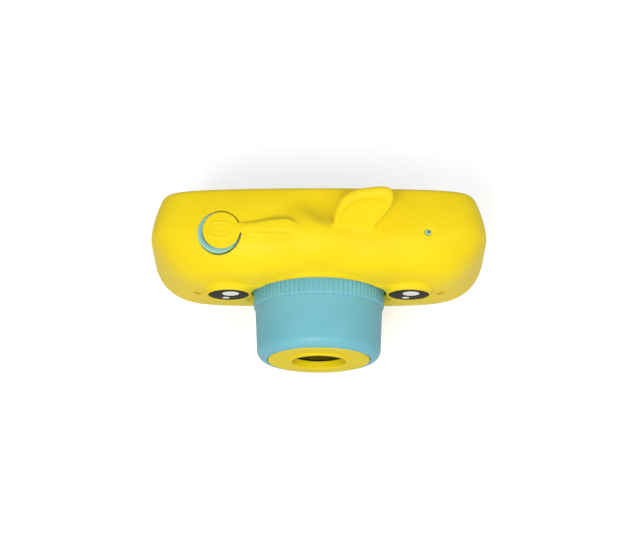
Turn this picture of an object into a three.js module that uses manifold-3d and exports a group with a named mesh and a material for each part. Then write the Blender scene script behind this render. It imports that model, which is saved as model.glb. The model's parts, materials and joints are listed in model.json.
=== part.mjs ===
// Kids' digital camera in a soft silicone cover with animal ears, eyes and a blue lens barrel.
//
// Millimetres. The lens looks along -Y, +X is to the right of someone facing the lens, and +Z is up.
// The origin is the middle of the flat underside that the camera stands on.
//
// Two shells hold the boards, battery and screen. The silicone cover is stretched over both shells,
// and one ear lies along the top and ends in the soft flap that presses the shutter button.

import * as THREE from 'three';
import { mergeVertices } from 'three/addons/utils/BufferGeometryUtils.js';
import Module from 'manifold-3d';

const wasm = await Module();
wasm.setup();

// ---------------------------------------------------------------- driving dimensions

// Outside of the silicone cover. Each section across the depth is a superellipse with an arched top, and
// these say where its sides, top and bottom are at the front, at the back and where the cover is widest.
const COVER = {
  front: -16, back: 11,
  wideY: -1, halfWidth: 50, frontHalfWidth: 35, backHalfWidth: 46.6,
  ridgeY: -3.6, top: 62, frontTop: 48, backTop: 59.2,
  baseY: -5, bottom: -1.2, frontBottom: 29, backBottom: 1.5,
  rimRadius: 1.4,
};
const SIDE_POWER = 1.5;           // how full the shoulders are between the sides and the flat front
const TOP_POWER = 2;
const BASE_POWER = 1.5;
const FRONT_SECTION_POWER = 4.9;  // the sections are rounder at the front than at the back
const BACK_SECTION_POWER = 9;
const CROWN = 0.12;               // share of its height that the top has fallen by at the sides

const COVER_WALL = 2.6;
const COVER_LIP = 1.6;            // thickness of the rim that holds the shells in from behind
const BASE_WALL = COVER_WALL - COVER.bottom;
const SHELL_GAP = 0.2;
const SHELL_WALL = 1.8;
const PARTING_Y = 3;
const PARTING_GAP = 0.05;

const LENS_Z = 33;
const LENS_FRONT_Y = -35;
const RING = { outer: 19.55, inner: 18.45, ribDepth: 0.3, ribs: 80, back: -13.35, front: -19.4 };
const BARREL_HOLE_R = 19.9;
const BEZEL_R = 15.3;
const BARREL_BOLT_R = 15.8;

const SEAT = { coverR: 22, coverY: -14.2, shellR: 19.6 };   // round seats that the barrel stands on
const EYE = { x: 26.75, z: 42, radius: 6, faceY: -17.2, bossRadius: 6.75, pocketDepth: 1.1 };

const SHUTTER = { x: -29.35, y: -2.7, holeR: 6.4, collarR: 6.1, collarTop: 59 };
const FLAP = { x: -28.6, y: -2.75, radius: 5.57, bottom: 60.3, top: 61.4 };
const NECK = { y: -2, width: 2.4, hingeX: -21.8 };   // joins the flap to the ear that lies along the top
const MIC = { x: 32, y: -3, radius: 1 };

const REAR_WINDOW = { halfWidth: 40, bottom: 8, top: 53.5, corner: 8 };
const SCREEN = { x: 12, z: 31, width: 42.6, height: 34.4 };
const KEY_TOP_Y = 10.4;
const KEYS = {
  up: { x: -24, z: 40, radius: 3.5 },
  down: { x: -24, z: 22, radius: 3.5 },
  left: { x: -15, z: 31, radius: 3.5 },
  right: { x: -33, z: 31, radius: 3.5 },
  ok: { x: -24, z: 31, radius: 3.5 },
  power: { x: -24, z: 49.3, radius: 2.6 },
  mode: { x: -28.5, z: 12.8, radius: 3 },
  play: { x: -18.5, z: 12.8, radius: 3 },
};
const STATUS_LIGHT = { x: -14, z: 49.3, radius: 1 };

const SHELL_SCREWS = [[-36.5, 13], [36.5, 13], [-36.5, 48.5], [36.5, 48.5]];
const BOARD_SCREWS = [[-11, 11], [35.5, 30.5]];
const SCREW = { shankR: 0.95, boreR: 1.15, headR: 1.9, headHeight: 1.1 };

const BOARD = { front: 0.9, back: 2.1 };
const PORT = { x0: 3.5, x1: 29.5, y0: -3.6, y1: 2.8 };
const PORT_HINGE = { y: 2.55, z: 0.35 };
const SPEAKER_HOLES_X = [-26, -23, -20, -17, -14];
const SPEAKER_Y = -3.4;
const LANYARD = { x: -43.2, y: 6, z0: 13.5, z1: 22.5, radius: 0.75 };

// ---------------------------------------------------------------- solids from three.js geometry

function toSolid(geometry) {
  const bare = geometry.clone();
  bare.deleteAttribute('normal');
  bare.deleteAttribute('uv');
  const merged = mergeVertices(bare, 1e-4);
  return new wasm.Manifold(new wasm.Mesh({
    numProp: 3,
    vertProperties: merged.attributes.position.array,
    triVerts: new Uint32Array(merged.index.array),
  }));
}

function toGeometry(solid) {
  const mesh = solid.getMesh();
  return new THREE.BufferGeometry()
    .setAttribute('position', new THREE.BufferAttribute(mesh.vertProperties, 3))
    .setIndex(new THREE.BufferAttribute(mesh.triVerts, 1));
}

// A box between two values on each axis.
function block(x0, x1, y0, y1, z0, z1) {
  const box = new THREE.BoxGeometry(x1 - x0, y1 - y0, z1 - z0);
  return toSolid(box.translate((x0 + x1) / 2, (y0 + y1) / 2, (z0 + z1) / 2));
}

function rodY(radius, y0, y1, x, z, segments = 20) {
  const rod = new THREE.CylinderGeometry(radius, radius, y1 - y0, segments);
  return toSolid(rod.translate(x, (y0 + y1) / 2, z));
}

function rodZ(radius, z0, z1, x, y, segments = 20) {
  const rod = new THREE.CylinderGeometry(radius, radius, z1 - z0, segments).rotateX(Math.PI / 2);
  return toSolid(rod.translate(x, y, (z0 + z1) / 2));
}

// A round solid about an axis along Y. The profile is a list of [radius, y] that goes once round the
// section of the solid: it starts and ends on the axis, or it is closed when the solid is a ring.
function turned(profile, x, z, segments = 24) {
  const twiceArea = profile.reduce((sum, [r, y], i) => {
    const [nextR, nextY] = profile[(i + 1) % profile.length];
    return sum + r * nextY - nextR * y;
  }, 0);
  const facingOut = twiceArea > 0 ? profile : [...profile].reverse();
  const points = facingOut.map(([r, y]) => new THREE.Vector2(r, y));
  return toSolid(new THREE.LatheGeometry(points, segments).translate(x, 0, z));
}

const turnedRing = (profile, x, z, segments) => turned([...profile, profile[0]], x, z, segments);

// An outline in X and Z, extruded from y0 back to y1.
function plate(shape, y0, y1, curveSegments = 4) {
  const slab = new THREE.ExtrudeGeometry(shape, { depth: y1 - y0, bevelEnabled: false, curveSegments });
  return toSolid(slab.rotateX(Math.PI / 2).translate(0, y1, 0));
}

function roundedRectangle(x0, x1, z0, z1, corner) {
  const shape = new THREE.Shape();
  const quarter = Math.PI / 2;
  shape.absarc(x1 - corner, z0 + corner, corner, -quarter, 0);
  shape.absarc(x1 - corner, z1 - corner, corner, 0, quarter);
  shape.absarc(x0 + corner, z1 - corner, corner, quarter, 2 * quarter);
  shape.absarc(x0 + corner, z0 + corner, corner, 2 * quarter, 3 * quarter);
  return shape;
}

const join = (solids) => solids.reduce((whole, solid) => whole.add(solid));
const cut = (solid, tools) => tools.reduce((left, tool) => left.subtract(tool), solid);

// ---------------------------------------------------------------- the camera's rounded body

const clamp01 = (t) => Math.min(1, Math.max(0, t));

// How far a rounded shoulder has come in after a share t of its depth: 0 at its start, 1 at its end.
const turnIn = (t, power) => 1 - (1 - t ** power) ** (1 / power);

function sectionPowerAt(y) {
  const share = clamp01((y - COVER.front) / (COVER.back - COVER.front));
  return FRONT_SECTION_POWER + (BACK_SECTION_POWER - FRONT_SECTION_POWER) * share ** 2;
}

// Half-width, top and bottom of a body's section at depth y.
function sectionAt(style, y) {
  const ahead = (start) => clamp01((start - y) / (start - style.front));
  const behind = (start) => clamp01((y - start) / (style.back - start));
  const rim = style.rimRadius * turnIn(clamp01(1 - (style.back - y) / style.rimRadius), 2);
  return {
    halfWidth: style.halfWidth - rim
      - (style.halfWidth - style.frontHalfWidth) * turnIn(ahead(style.wideY), SIDE_POWER)
      - (style.halfWidth - style.backHalfWidth) * behind(style.wideY) ** 2,
    top: style.top - rim
      - (style.top - style.frontTop) * turnIn(ahead(style.ridgeY), TOP_POWER)
      - (style.top - style.backTop) * behind(style.ridgeY) ** 2,
    bottom: style.bottom + rim
      + (style.frontBottom - style.bottom) * turnIn(ahead(style.baseY), BASE_POWER)
      + (style.backBottom - style.bottom) * behind(style.baseY) ** 4,
  };
}

// The depths that a body's surface is drawn at, from the back plane to the front plane.
function depthsOf(style, rimSteps, sideSteps, shoulderSteps) {
  const depths = [];
  for (let i = 0; i < rimSteps; i++) {
    depths.push(style.back - style.rimRadius * (1 - Math.cos((i / rimSteps) * Math.PI / 2)));
  }
  const sideStart = style.back - style.rimRadius;
  for (let i = 0; i < sideSteps; i++) {
    depths.push(sideStart + (style.ridgeY - sideStart) * (i / sideSteps));
  }
  for (let i = 0; i <= shoulderSteps; i++) {
    depths.push(style.ridgeY - (style.ridgeY - style.front) * Math.sin((i / shoulderSteps) * Math.PI / 2));
  }
  return depths;
}

// A sphere whose rings are moved onto the body's sections. Its poles are the middles of the flat
// back and the flat front.
function pillow(style, around, steps) {
  const depths = depthsOf(style, ...steps);
  const rings = [depths[0], ...depths, depths[depths.length - 1]];
  const ball = new THREE.SphereGeometry(1, around, rings.length - 1);
  const position = ball.attributes.position;
  for (let i = 0; i < position.count; i++) {
    const ring = Math.floor(i / (around + 1));
    const angle = ((i % (around + 1)) % around) / around * 2 * Math.PI;
    const { halfWidth, top, bottom } = sectionAt(style, rings[ring]);
    const power = 2 / sectionPowerAt(rings[ring]);
    const spread = (v) => Math.sign(v) * Math.abs(v) ** power;
    const size = ring === 0 || ring === rings.length - 1 ? 0 : 1;
    const across = spread(Math.cos(angle));
    const rise = spread(Math.sin(angle));
    const arch = rise > 0 ? 1 - CROWN * across ** 2 : 1;
    position.setXYZ(
      i,
      -size * halfWidth * across,
      rings[ring],
      (top + bottom) / 2 + size * ((top - bottom) / 2) * rise * arch,
    );
  }
  return toSolid(ball);
}

// The same body, moved in by a wall: separate thicknesses at the back and underneath.
function inset(style, wall, backWall, baseWall) {
  return {
    ...style,
    front: style.front + wall, back: style.back - backWall,
    halfWidth: style.halfWidth - wall, backHalfWidth: style.backHalfWidth - wall,
    frontHalfWidth: style.frontHalfWidth - wall / 2,
    top: style.top - wall, backTop: style.backTop - wall, frontTop: style.frontTop - wall / 2,
    bottom: style.bottom + baseWall, backBottom: style.backBottom + baseWall - COVER.rimRadius / 2,
    frontBottom: style.frontBottom + wall / 2,
    rimRadius: 1.2,
  };
}

const POCKET = inset(COVER, COVER_WALL, COVER_LIP, BASE_WALL);
const BODY = inset(COVER, COVER_WALL + SHELL_GAP, COVER_LIP + SHELL_GAP, BASE_WALL + SHELL_GAP);
const INSIDE_WALL = COVER_WALL + SHELL_GAP + SHELL_WALL;
const HOLLOW = inset(
  COVER, INSIDE_WALL, COVER_LIP + SHELL_GAP + SHELL_WALL, BASE_WALL + SHELL_GAP + SHELL_WALL,
);

const bodySolid = pillow(BODY, 36, [1, 2, 5]);
const hollowSolid = pillow(HOLLOW, 28, [1, 2, 4]);

// ---------------------------------------------------------------- silicone cover

// The standing ear: a leaf 3.2 mm thick that leans back and outwards, with a shallow inner-ear panel.
function standingEar() {
  const root = { x: 9.6, y: -3.4, z: 60.8 };
  const leanBack = THREE.MathUtils.degToRad(46);
  const thickness = 3.2;
  const softEdge = 0.8;
  const leaf = new THREE.Shape();
  leaf.moveTo(-5.6, -3.5);
  leaf.bezierCurveTo(-5.7, 6.5, -6, 14, 5.2, 14.8);
  leaf.bezierCurveTo(9, 15.3, 12.9, 15.7, 12.4, 11);
  leaf.bezierCurveTo(12.2, 8.6, 8.6, 4.2, 3, -3.5);
  const stand = (geometry) => toSolid(geometry
    .rotateX(Math.PI / 2 - leanBack)
    .translate(root.x, root.y, root.z));
  const ear = stand(new THREE.ExtrudeGeometry(leaf, {
    depth: thickness - 2 * softEdge, bevelThickness: softEdge, bevelSize: softEdge, bevelOffset: -softEdge,
    bevelSegments: 2, curveSegments: 6,
  }).translate(0, 0, -(thickness - 2 * softEdge) / 2));

  const panel = new THREE.Shape();
  panel.moveTo(-3.2, 0);
  panel.bezierCurveTo(-3.2, 6, -1.6, 10.4, 4, 10.8);
  panel.bezierCurveTo(7.4, 11.1, 9.8, 11.2, 9.4, 9.2);
  panel.bezierCurveTo(8.8, 6, 6.2, 3, 3.4, 0);
  const panelDepth = 0.6;
  const recess = stand(new THREE.ExtrudeGeometry(panel, { depth: 3, bevelEnabled: false, curveSegments: 5 })
    .translate(0, 0, thickness / 2 - panelDepth));
  return ear.subtract(recess);
}

// The lying ear: a low rounded ridge along the top that runs to the shutter flap's hinge.
function lyingEar() {
  const width = 3.8;
  const softEdge = 0.9;
  const left = NECK.hingeX + 0.2;
  const side = new THREE.Shape();
  side.moveTo(left, 59.5);
  side.lineTo(left, 61.9);
  side.bezierCurveTo(left + 3, 62.3, -15.5, 64.7, -11, 64.8);
  side.bezierCurveTo(-8, 64.9, -5, 64.4, -3.8, 61.5);
  side.lineTo(-3.8, 59.5);
  return toSolid(new THREE.ExtrudeGeometry(side, {
    depth: width - 2 * softEdge, bevelThickness: softEdge, bevelSize: softEdge, bevelOffset: -softEdge,
    bevelSegments: 2, curveSegments: 6,
  }).rotateX(Math.PI / 2).translate(0, NECK.y - 0.2 + width / 2 - softEdge, 0));
}

// A ball stretched to its radii along X, Y and Z.
function stretchedBall(radii, centre) {
  return toSolid(new THREE.SphereGeometry(1, 20, 12).scale(...radii).translate(...centre));
}

// The forehead between the ears is a little fuller than the rest of the top, with a soft dip behind it.
const forehead = () => stretchedBall([10.5, 7, 6.2], [-1.2, -3.6, 57.6]);
const dipBehindForehead = () => stretchedBall([9.2, 7.3, 7], [1.4, 6.2, 66.8]);

// A round boss that an eye sits in, and the pocket for the eye's disc.
function eyeBoss(x) {
  const { bossRadius, faceY, z } = EYE;
  return turned([[0, faceY], [bossRadius - 0.25, faceY], [bossRadius, faceY + 0.3],
    [bossRadius, -14.6], [0, -14.6]], x, z, 28);
}

const eyePocket = (x) => rodY(EYE.radius + 0.15, EYE.faceY - 1, EYE.faceY + EYE.pocketDepth, x, EYE.z, 28);

// The eye's disc, slightly domed, about its own middle line.
function eyeDisc() {
  const { radius, faceY, pocketDepth } = EYE;
  const back = faceY + pocketDepth - 0.1;
  return turned([[0, faceY - 0.2], [3, faceY - 0.15], [5, faceY], [radius, faceY + 0.3],
    [radius, back], [0, back]], 0, 0, 28);
}

function siliconeCover() {
  const body = pillow(COVER, 52, [3, 3, 8]).add(forehead()).subtract(dipBehindForehead());
  const outside = join([
    body, standingEar(), lyingEar(), eyeBoss(-EYE.x), eyeBoss(EYE.x),
    rodY(SEAT.coverR, SEAT.coverY, -8, 0, LENS_Z, 48),
  ]);
  const { halfWidth, bottom, top, corner } = REAR_WINDOW;
  const speakerHoles = SPEAKER_HOLES_X.map((x) => rodZ(0.7, -1, 4, x, SPEAKER_Y, 8));
  const neckGap = NECK.width / 2 + 0.25;
  return cut(outside, [
    pillow(POCKET, 36, [1, 2, 5]),
    block(-60, 60, -40, 20, -5, 0),
    rodY(BARREL_HOLE_R, -20, -10, 0, LENS_Z, 48),
    plate(roundedRectangle(-halfWidth, halfWidth, bottom, top, corner), 8, 12),
    rodZ(SHUTTER.holeR, 55, 66, SHUTTER.x, SHUTTER.y, 32),
    block(SHUTTER.x, NECK.hingeX + 0.2, NECK.y - neckGap, NECK.y + neckGap, FLAP.bottom, 66),
    rodZ(MIC.radius, 55, 66, MIC.x, MIC.y, 10),
    block(PORT.x0, PORT.x1, PORT.y0, PORT.y1, -1, 4),
    block(-60, -44, 3.6, 8.4, 13.8, 22.2),
    eyePocket(-EYE.x), eyePocket(EYE.x), ...speakerHoles,
  ]);
}

// The soft disc over the shutter button, with the neck that joins it to the lying ear.
function shutterFlap() {
  const { x, y, radius, bottom, top } = FLAP;
  const softEdge = 0.5;
  const profile = [[0, bottom], [radius - 0.2, bottom], [radius, bottom + 0.2], [radius, top - softEdge],
    [radius - softEdge, top], [0, top + 0.2]].map(([r, h]) => new THREE.Vector2(r, h));
  const disc = new THREE.LatheGeometry(profile, 28).rotateX(Math.PI / 2);
  const neck = block(x + 3, NECK.hingeX, NECK.y - NECK.width / 2, NECK.y + NECK.width / 2, bottom + 0.1, top);
  return toSolid(disc.translate(x, y, 0)).add(neck);
}

// The soft plug that closes the charging and memory card ports underneath.
function portCover() {
  const lid = block(PORT.x0 + 0.25, PORT.x1 - 0.25, PORT.y0 + 0.45, PORT_HINGE.y, PORT_HINGE.z, 1.9);
  const usbPlug = block(6.7, 12.9, -1.3, 0.35, 1.8, 3.4);
  return lid.add(usbPlug);
}

// ---------------------------------------------------------------- shells

function frontShell() {
  const wall = bodySolid.subtract(hollowSolid);
  const bosses = SHELL_SCREWS.map(([x, z]) => rodY(2.8, -13, PARTING_Y, x, z, 16));
  const boardPosts = BOARD_SCREWS.map(([x, z]) => rodY(2.2, -13, BOARD.front - 0.05, x, z, 14));
  const shelves = [-10, 10].map((x) => block(x - 2, x + 2, -12, -0.6, 47.9, 49.5));
  const bolts = barrelBoltPlaces();
  const boltBosses = bolts.map(([x, z]) => rodY(2.8, -14, -10.4, x, z, 14));
  const inside = join([...bosses, ...boardPosts, ...shelves, ...boltBosses]).intersect(bodySolid);
  const collar = rodZ(SHUTTER.collarR, 57, SHUTTER.collarTop, SHUTTER.x, SHUTTER.y, 32);
  const seat = rodY(SEAT.shellR, BODY.front, -10.4, 0, LENS_Z, 44);
  return cut(join([wall, inside, collar, seat]), [
    block(-60, 60, PARTING_Y - PARTING_GAP, 20, -5, 70),
    rodY(12.5, -14, -10, 0, LENS_Z, 32),
    rodZ(4.9, 50, 62, SHUTTER.x, SHUTTER.y, 28),
    rodZ(5.7, 50, 56.3, SHUTTER.x, SHUTTER.y, 28),
    rodZ(0.8, 50, 62, MIC.x, MIC.y, 8),
    block(5.7, 13.9, -2, 1.05, 1, 5.5),
    block(15.1, 27.9, -1.4, 1.05, 1, 6.2),
    ...SHELL_SCREWS.map(([x, z]) => rodY(SCREW.boreR, -6, 4, x, z, 12)),
    ...BOARD_SCREWS.map(([x, z]) => rodY(SCREW.boreR, -6, 4, x, z, 12)),
    ...bolts.map(([x, z]) => rodY(SCREW.boreR, -14, -10, x, z, 12)),
    ...SPEAKER_HOLES_X.map((x) => rodZ(0.8, 1, 5.6, x, SPEAKER_Y, 8)),
  ]);
}

function rearShell() {
  const wall = bodySolid.subtract(hollowSolid);
  const posts = SHELL_SCREWS.map(([x, z]) => rodY(2.8, 2, 8.5, x, z, 16));
  const lanyardBlock = block(-50, -39.2, 2, 8.9, 12, 24);
  const inside = join([...posts, lanyardBlock]).intersect(bodySolid);
  const { x, z, width, height } = SCREEN;
  const keyHoles = Object.values(KEYS).map((key) => rodY(key.radius + 0.25, 7, 10, key.x, key.z, 24));
  return cut(join([wall, inside]), [
    block(-60, 60, -20, PARTING_Y + PARTING_GAP, -5, 70),
    block(x - width / 2 + 1.7, x + width / 2 - 1.7, 7, 10, z - height / 2 + 1.8, z + height / 2 - 1.8),
    block(x - width / 2 - 0.2, x + width / 2 + 0.2, 8.1, 10, z - height / 2 - 0.2, z + height / 2 + 0.2),
    block(-60, -40.7, 4, 8, 14.5, 21.5),
    rodZ(LANYARD.radius + 0.2, LANYARD.z0 - 0.2, LANYARD.z1 + 0.2, LANYARD.x, LANYARD.y, 10),
    rodY(STATUS_LIGHT.radius + 0.2, 7, 10, STATUS_LIGHT.x, STATUS_LIGHT.z, 12),
    ...SHELL_SCREWS.map(([sx, sz]) => rodY(SCREW.boreR, 2, 9, sx, sz, 12)),
    ...SHELL_SCREWS.map(([sx, sz]) => rodY(SCREW.headR + 0.3, 7.6, 10, sx, sz, 16)),
    ...keyHoles,
  ]);
}

// ---------------------------------------------------------------- lens

const barrelBoltPlaces = () => [90, 210, 330].map((degrees) => {
  const angle = THREE.MathUtils.degToRad(degrees);
  return [BARREL_BOLT_R * Math.cos(angle), LENS_Z + BARREL_BOLT_R * Math.sin(angle)];
});

function lensBarrel() {
  const noseRadius = 3;
  const noseSteps = 3;
  const nose = [];
  for (let i = 0; i <= noseSteps; i++) {
    const angle = (i / noseSteps) * Math.PI / 2;
    nose.push([
      18.4 - noseRadius * (1 - Math.cos(angle)),
      LENS_FRONT_Y + noseRadius * (1 - Math.sin(angle)),
    ]);
  }
  const bore = [[15.4, -33.35], [13, -33.35], [13, -31.6], [15.7, -30], [15.7, -24.8], [16.4, -24.8],
    [16.4, -17.2], [13.5, -16.2], [13.5, -13.3]];
  const base = [[18.25, -13.3], [18.25, RING.front - 0.05], [19, RING.front - 0.05]];
  const profile = [...base, ...nose, ...bore];
  const bolts = barrelBoltPlaces().map(([x, z]) => rodY(SCREW.boreR, -17, -13, x, z - LENS_Z, 12));
  return cut(turnedRing(profile, 0, 0, 44), bolts);
}

// The ribbed band at the barrel's root.
function knurledRing() {
  const outline = new THREE.Shape();
  const points = RING.ribs * 2;
  for (let i = 0; i < points; i++) {
    const angle = (i / points) * 2 * Math.PI;
    const radius = RING.outer - (i % 2) * RING.ribDepth;
    const place = [radius * Math.cos(angle), radius * Math.sin(angle)];
    if (i === 0) outline.moveTo(...place);
    else outline.lineTo(...place);
  }
  return plate(outline, RING.front, RING.back).subtract(rodY(RING.inner, -20, -12, 0, 0, 48));
}

function lensBezel() {
  return turnedRing([[BEZEL_R, -33.4], [BEZEL_R, -35], [BEZEL_R - 0.2, -35.2], [10, -35.2], [9.4, -35.7],
    [8.1, -35.7], [7.8, -33.4]], 0, 0, 48);
}

function lensHolder() {
  const tube = turnedRing([[7.5, -25], [7.5, -27.5], [6, -28], [6, -31], [4.3, -31], [4.3, -25]], 0, 0, 24);
  const foot = block(-8, 8, -25.2, -24.7, -8, 8).subtract(rodY(4.3, -26, -24, 0, 0, 24));
  return tube.add(foot);
}

const lensElement = () => turned(
  [[0, -30.9], [2.4, -30.6], [4.1, -29.8], [4.1, -28.6], [0, -28.6]], 0, 0, 24,
);

// The sensor's package, open in front over the light-sensitive area.
function imageSensor() {
  return block(-3.4, 3.4, -26, -24.75, -2.4, 2.4).subtract(block(-2.4, 2.4, -27, -25.7, -1.6, 1.6));
}

// ---------------------------------------------------------------- buttons, switches and fasteners

function shutterButton() {
  const { x } = FLAP;
  const { y } = SHUTTER;
  return join([rodZ(5.35, 55.2, 56, SHUTTER.x, y, 24), rodZ(4.6, 54.95, 59, SHUTTER.x, y, 24),
    rodZ(2.5, 58.8, 60.15, x, y, 16)]);
}

// A key's cap about its own middle line. It stands through the rear wall on a flange that keeps it in.
function keyCap({ radius }) {
  const top = KEY_TOP_Y;
  const flangeR = radius + 0.6;
  return turned([[0, 6.2], [flangeR, 6.2], [flangeR, 7.1], [radius, 7.1], [radius, top - 0.7],
    [radius - 0.7, top - 0.1], [0, top]], 0, 0, 16);
}

// The push switch soldered to the main board behind each key.
const keySwitch = () => block(-3, 3, BOARD.back + 0.05, 4.6, -3, 3).add(rodY(1.6, 4.5, 5.4, 0, 0, 10));

// A cross-head screw that points along -Y. The top of its head is at the origin.
function crossHeadScrew(length) {
  const { headR, headHeight, shankR } = SCREW;
  const head = rodY(headR, -headHeight, 0, 0, 0, 14);
  const shank = rodY(shankR, -headHeight - length, -headHeight + 0.2, 0, 0, 8);
  const arm = 1.1;
  const halfSlot = 0.22;
  return cut(head.add(shank), [
    block(-arm, arm, -0.5, 1, -halfSlot, halfSlot),
    block(-halfSlot, halfSlot, -0.5, 1, -arm, arm),
  ]);
}

// ---------------------------------------------------------------- electronics

function mainBoard() {
  const outline = new THREE.Shape();
  const corners = [[-33, 8], [33, 8], [33, 17], [38, 17], [38, 44.5], [33, 44.5], [33, 53], [-33, 53],
    [-33, 44.5], [-37, 44.5], [-37, 17], [-33, 17]];
  corners.forEach(([x, z], i) => (i ? outline.lineTo(x, z) : outline.moveTo(x, z)));
  return cut(plate(outline, BOARD.front, BOARD.back),
    BOARD_SCREWS.map(([x, z]) => rodY(SCREW.boreR, 0, 3, x, z, 12)));
}

const usbSocket = () => block(6, 13.6, -1.8, 0.85, 5.2, 11).subtract(block(6.5, 13.1, -1.3, 0.35, 4, 10));

const cardSocket = () => (
  block(15.5, 27.5, -1.2, 0.85, 5.9, 22).subtract(block(15.9, 27.1, -0.8, 0.3, 4, 21.6))
);

const memoryCard = () => block(16.1, 26.9, -0.65, 0.15, 4.4, 19.6);

function shutterSwitch() {
  const { x, y } = SHUTTER;
  return block(x - 3, x + 3, y - 3, y + 3, 50.85, 53.4).add(rodZ(1.6, 53.3, 54.2, x, y, 12));
}

// A frame with a low magnet block on top. It faces down, towards the holes underneath.
const speaker = () => block(-28.4, -13.4, -6.4, 0.3, 7.4, 10).add(block(-26, -16, -5.4, -0.8, 9.9, 10.9));

// A rubber tube that seals the microphone against the front shell.
function micBoot() {
  const x = MIC.x - 0.4;
  return rodZ(1.6, 52.3, 54.4, x, MIC.y, 14).subtract(rodZ(0.6, 52, 55, x, MIC.y, 8));
}

// ---------------------------------------------------------------- materials

const paint = (color, roughness, metalness = 0) => (
  new THREE.MeshStandardMaterial({ color, roughness, metalness })
);

const MATERIALS = {
  yellowSilicone: paint(0xfbdc22, 0.55),
  yellowPlastic: paint(0xf2d62e, 0.35),
  bluePlastic: paint(0x7cc0cc, 0.4),
  blackGloss: paint(0x2b2a28, 0.15),
  blackPlastic: paint(0x1c1c1e, 0.5),
  clearPanel: paint(0x101214, 0.05),
  lensGlass: paint(0x2a2f3a, 0.03),
  screenPanel: paint(0x22262b, 0.2),
  greenBoard: paint(0x1e6b45, 0.45),
  steel: paint(0xb9bcc0, 0.3, 1),
  foil: paint(0xc6c8cc, 0.4, 0.7),
  amberFilm: paint(0xb8742a, 0.35),
  greenLight: paint(0x9be08a, 0.3),
};

// ---------------------------------------------------------------- assembly

const camera = new THREE.Group();

function add(name, solid, material, position = [0, 0, 0], parent = camera) {
  const mesh = new THREE.Mesh(toGeometry(solid), MATERIALS[material]);
  mesh.name = name;
  mesh.position.set(...position);
  parent.add(mesh);
}

// Outside
add('silicone_cover', siliconeCover(), 'yellowSilicone');
add('shutter_flap', shutterFlap(), 'yellowSilicone');
add('port_cover', portCover(), 'yellowSilicone');
add('eye_left', eyeDisc(), 'blackGloss', [-EYE.x, 0, EYE.z]);
add('eye_right', eyeDisc(), 'blackGloss', [EYE.x, 0, EYE.z]);

// Shells and lens
add('front_shell', frontShell(), 'bluePlastic');
add('rear_shell', rearShell(), 'bluePlastic');
const lens = new THREE.Group();
lens.position.z = LENS_Z;
camera.add(lens);
const addToLens = (name, solid, material) => add(name, solid, material, [0, 0, 0], lens);
addToLens('lens_barrel', lensBarrel(), 'bluePlastic');
addToLens('knurled_ring', knurledRing(), 'bluePlastic');
addToLens('lens_bezel', lensBezel(), 'yellowPlastic');
addToLens('lens_window', rodY(12.8, -33.25, -32.05, 0, 0, 36), 'clearPanel');
addToLens('lens_holder', lensHolder(), 'blackPlastic');
addToLens('lens_element', lensElement(), 'lensGlass');
addToLens('sensor_board', rodY(16.1, -24.6, -23.6, 0, 0, 32), 'greenBoard');
addToLens('image_sensor', imageSensor(), 'blackPlastic');
addToLens('camera_ribbon', block(-4, 4, -23.5, 0.8, 8, 8.3), 'amberFilm');
barrelBoltPlaces().forEach(([x, z], i) => {
  add(`barrel_screw_${i + 1}`, crossHeadScrew(5.4), 'steel', [x, -9.25, z]);
});

// Buttons and what they press
add('shutter_button', shutterButton(), 'bluePlastic');
add('shutter_switch', shutterSwitch(), 'blackPlastic');
for (const [name, key] of Object.entries(KEYS)) {
  add(`${name}_key`, keyCap(key), 'yellowPlastic', [key.x, 0, key.z]);
  add(`${name}_switch`, keySwitch(), 'blackPlastic', [key.x, 0, key.z]);
}
add('status_light', rodY(STATUS_LIGHT.radius, 5.6, 9.3, STATUS_LIGHT.x, STATUS_LIGHT.z, 12), 'greenLight');

// Electronics
add('main_board', mainBoard(), 'greenBoard');
add('top_board', block(-33.3, 33.3, -8, -0.4, 49.6, 50.8), 'greenBoard');
add('processor', block(-6, 6, -0.4, BOARD.front - 0.05, 22, 34), 'blackPlastic');
add('microphone', block(30.2, 33.2, -4.5, -1.5, 50.85, 52.2), 'foil');
add('mic_boot', micBoot(), 'blackPlastic');
add('speaker', speaker(), 'foil');
add('battery', block(-33, -16.3, -9.6, -4.6, 21.5, 48), 'foil');
add('usb_socket', usbSocket(), 'steel');
add('card_socket', cardSocket(), 'steel');
add('memory_card', memoryCard(), 'blackPlastic');
add('screen_panel', block(SCREEN.x - SCREEN.width / 2, SCREEN.x + SCREEN.width / 2, 4.4, 7.15,
  SCREEN.z - SCREEN.height / 2, SCREEN.z + SCREEN.height / 2), 'screenPanel');
add('screen_window', block(SCREEN.x - SCREEN.width / 2, SCREEN.x + SCREEN.width / 2, 8.15, 9.15,
  SCREEN.z - SCREEN.height / 2, SCREEN.z + SCREEN.height / 2), 'clearPanel');

// Fasteners
SHELL_SCREWS.forEach(([x, z], i) => {
  add(`shell_screw_${i + 1}`, crossHeadScrew(11), 'steel', [x, 8.75, z]);
});
BOARD_SCREWS.forEach(([x, z], i) => {
  add(`board_screw_${i + 1}`, crossHeadScrew(5.5), 'steel', [x, 3.3, z]);
});
add('lanyard_pin', rodZ(LANYARD.radius, LANYARD.z0, LANYARD.z1, LANYARD.x, LANYARD.y, 10), 'steel');

export default camera;
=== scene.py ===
"""Blender looks for a children's digital camera in a soft silicone cover.

Lengths are in millimetres until a mesh is made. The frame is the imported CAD's: the lens looks along -Y,
+Z is up, and the origin is the middle of the flat underside.
"""

import json
import math

import bmesh
import bpy
import numpy as np
from mathutils import Matrix, Vector

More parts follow.
